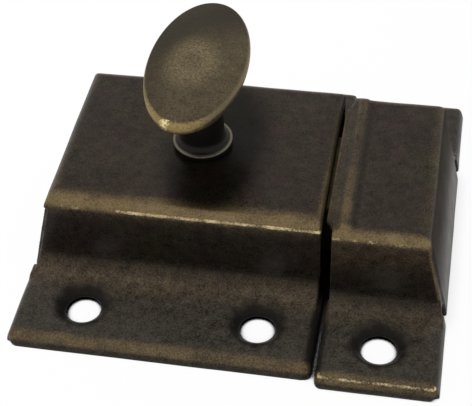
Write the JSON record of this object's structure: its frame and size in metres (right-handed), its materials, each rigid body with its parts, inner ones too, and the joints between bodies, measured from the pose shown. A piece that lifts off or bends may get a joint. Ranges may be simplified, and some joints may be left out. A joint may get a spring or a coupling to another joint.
{
  "type": "cupboard catch latch",
  "caption": "Surface cupboard latch: a stamped case with an oval turn knob and a sprung bevelled bolt, beside a stamped keeper that the bolt shoots into.",
  "frame": {"origin": "centre of the pair's outline on the mounting plane behind the flanges", "axes": "+X from the case to the keeper, along the bolt's throw; +Y along the knob's length at rest; +Z out of the mounting plane, along the knob's axis"},
  "size_m": [0.052, 0.0518, 0.0265],
  "materials": {
    "pan_finish": "dark aged satin",
    "knob_finish": "aged, rubbed",
    "steel": "plain rolled",
    "bolt_metal": "dull cast",
    "spring_wire": "drawn wire"
  },
  "bodies": {
    "case": {"case_cover": "pan_finish", "keeper": "pan_finish", "bolt_frame": "steel", "bolt_spring": "spring_wire"},
    "turn": {"knob": "knob_finish", "spindle": "steel", "drive_cam": "steel", "spindle_washer": "steel"},
    "bolt": {"latch_bolt": "bolt_metal"}
  },
  "joints": [
    {"name": "knob_turn", "type": "hinge", "parent": "case", "child": "turn", "pos_m": [-0.00595, 0.0005, 0.0126], "axis": [0, 0, -1], "range_deg": [0, 75], "stiffness_Nm_per_rad": 0.006406, "springref_deg": -53.57},
    {"name": "bolt_slide", "type": "slide", "parent": "case", "child": "bolt", "axis": [-1, 0, 0], "range_m": [0, 0.0056], "deforming": ["bolt_spring"]}
  ],
  "couplings": [
    {"joint": "knob_turn", "follows": "bolt_slide", "rad_per_m": 233.75}
  ]
}
